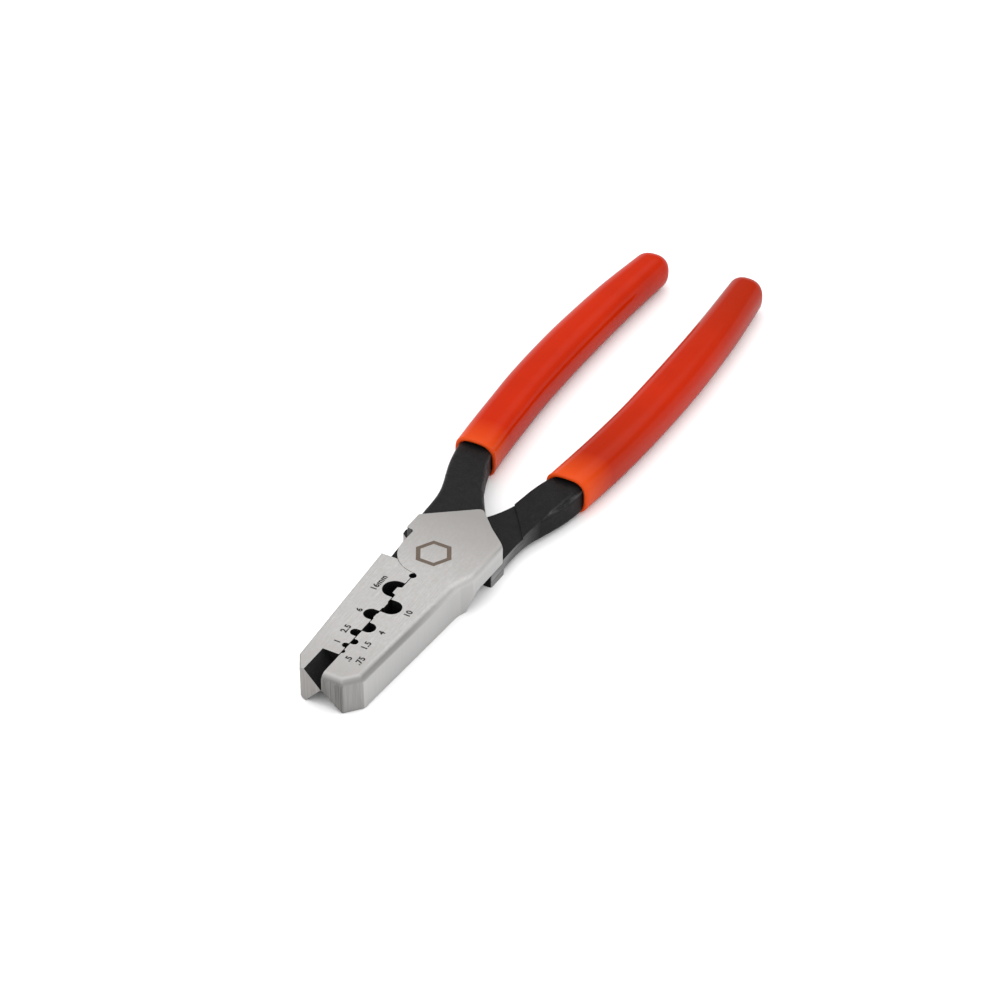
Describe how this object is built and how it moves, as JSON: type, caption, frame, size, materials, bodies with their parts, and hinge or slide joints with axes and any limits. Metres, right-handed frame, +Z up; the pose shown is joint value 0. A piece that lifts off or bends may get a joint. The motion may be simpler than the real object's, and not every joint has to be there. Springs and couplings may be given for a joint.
{
  "type": "ferrule crimping pliers",
  "caption": "Lap-joint pliers for crimping wire-end ferrules, with stepped U-shaped nests along the jaws, a wire cutter in the nose and sleeve grips.",
  "frame": {"origin": "on the rivet's axis, at the flat underside of the head", "axes": "+Y from the rivet to the handle ends, +Z up out of the top face, jaws along -Y"},
  "size_m": [0.0474, 0.2092, 0.011],
  "materials": {
    "forged_steel": "brushed head and jaws, black oxide handles, nests and cutter",
    "rivet_steel": "brushed flush with the head",
    "grip": "glossy soft vinyl"
  },
  "bodies": {
    "lower_body": {"lower_half": "forged_steel", "right_grip": "grip"},
    "upper_body": {"upper_half": "forged_steel", "pivot_rivet": "rivet_steel", "left_grip": "grip"}
  },
  "joints": [
    {"name": "jaw_pivot", "type": "hinge", "parent": "lower_body", "child": "upper_body", "pos_m": [0, 0, 0.005], "axis": [0, 0, 1], "range_deg": [0, 25]}
  ]
}
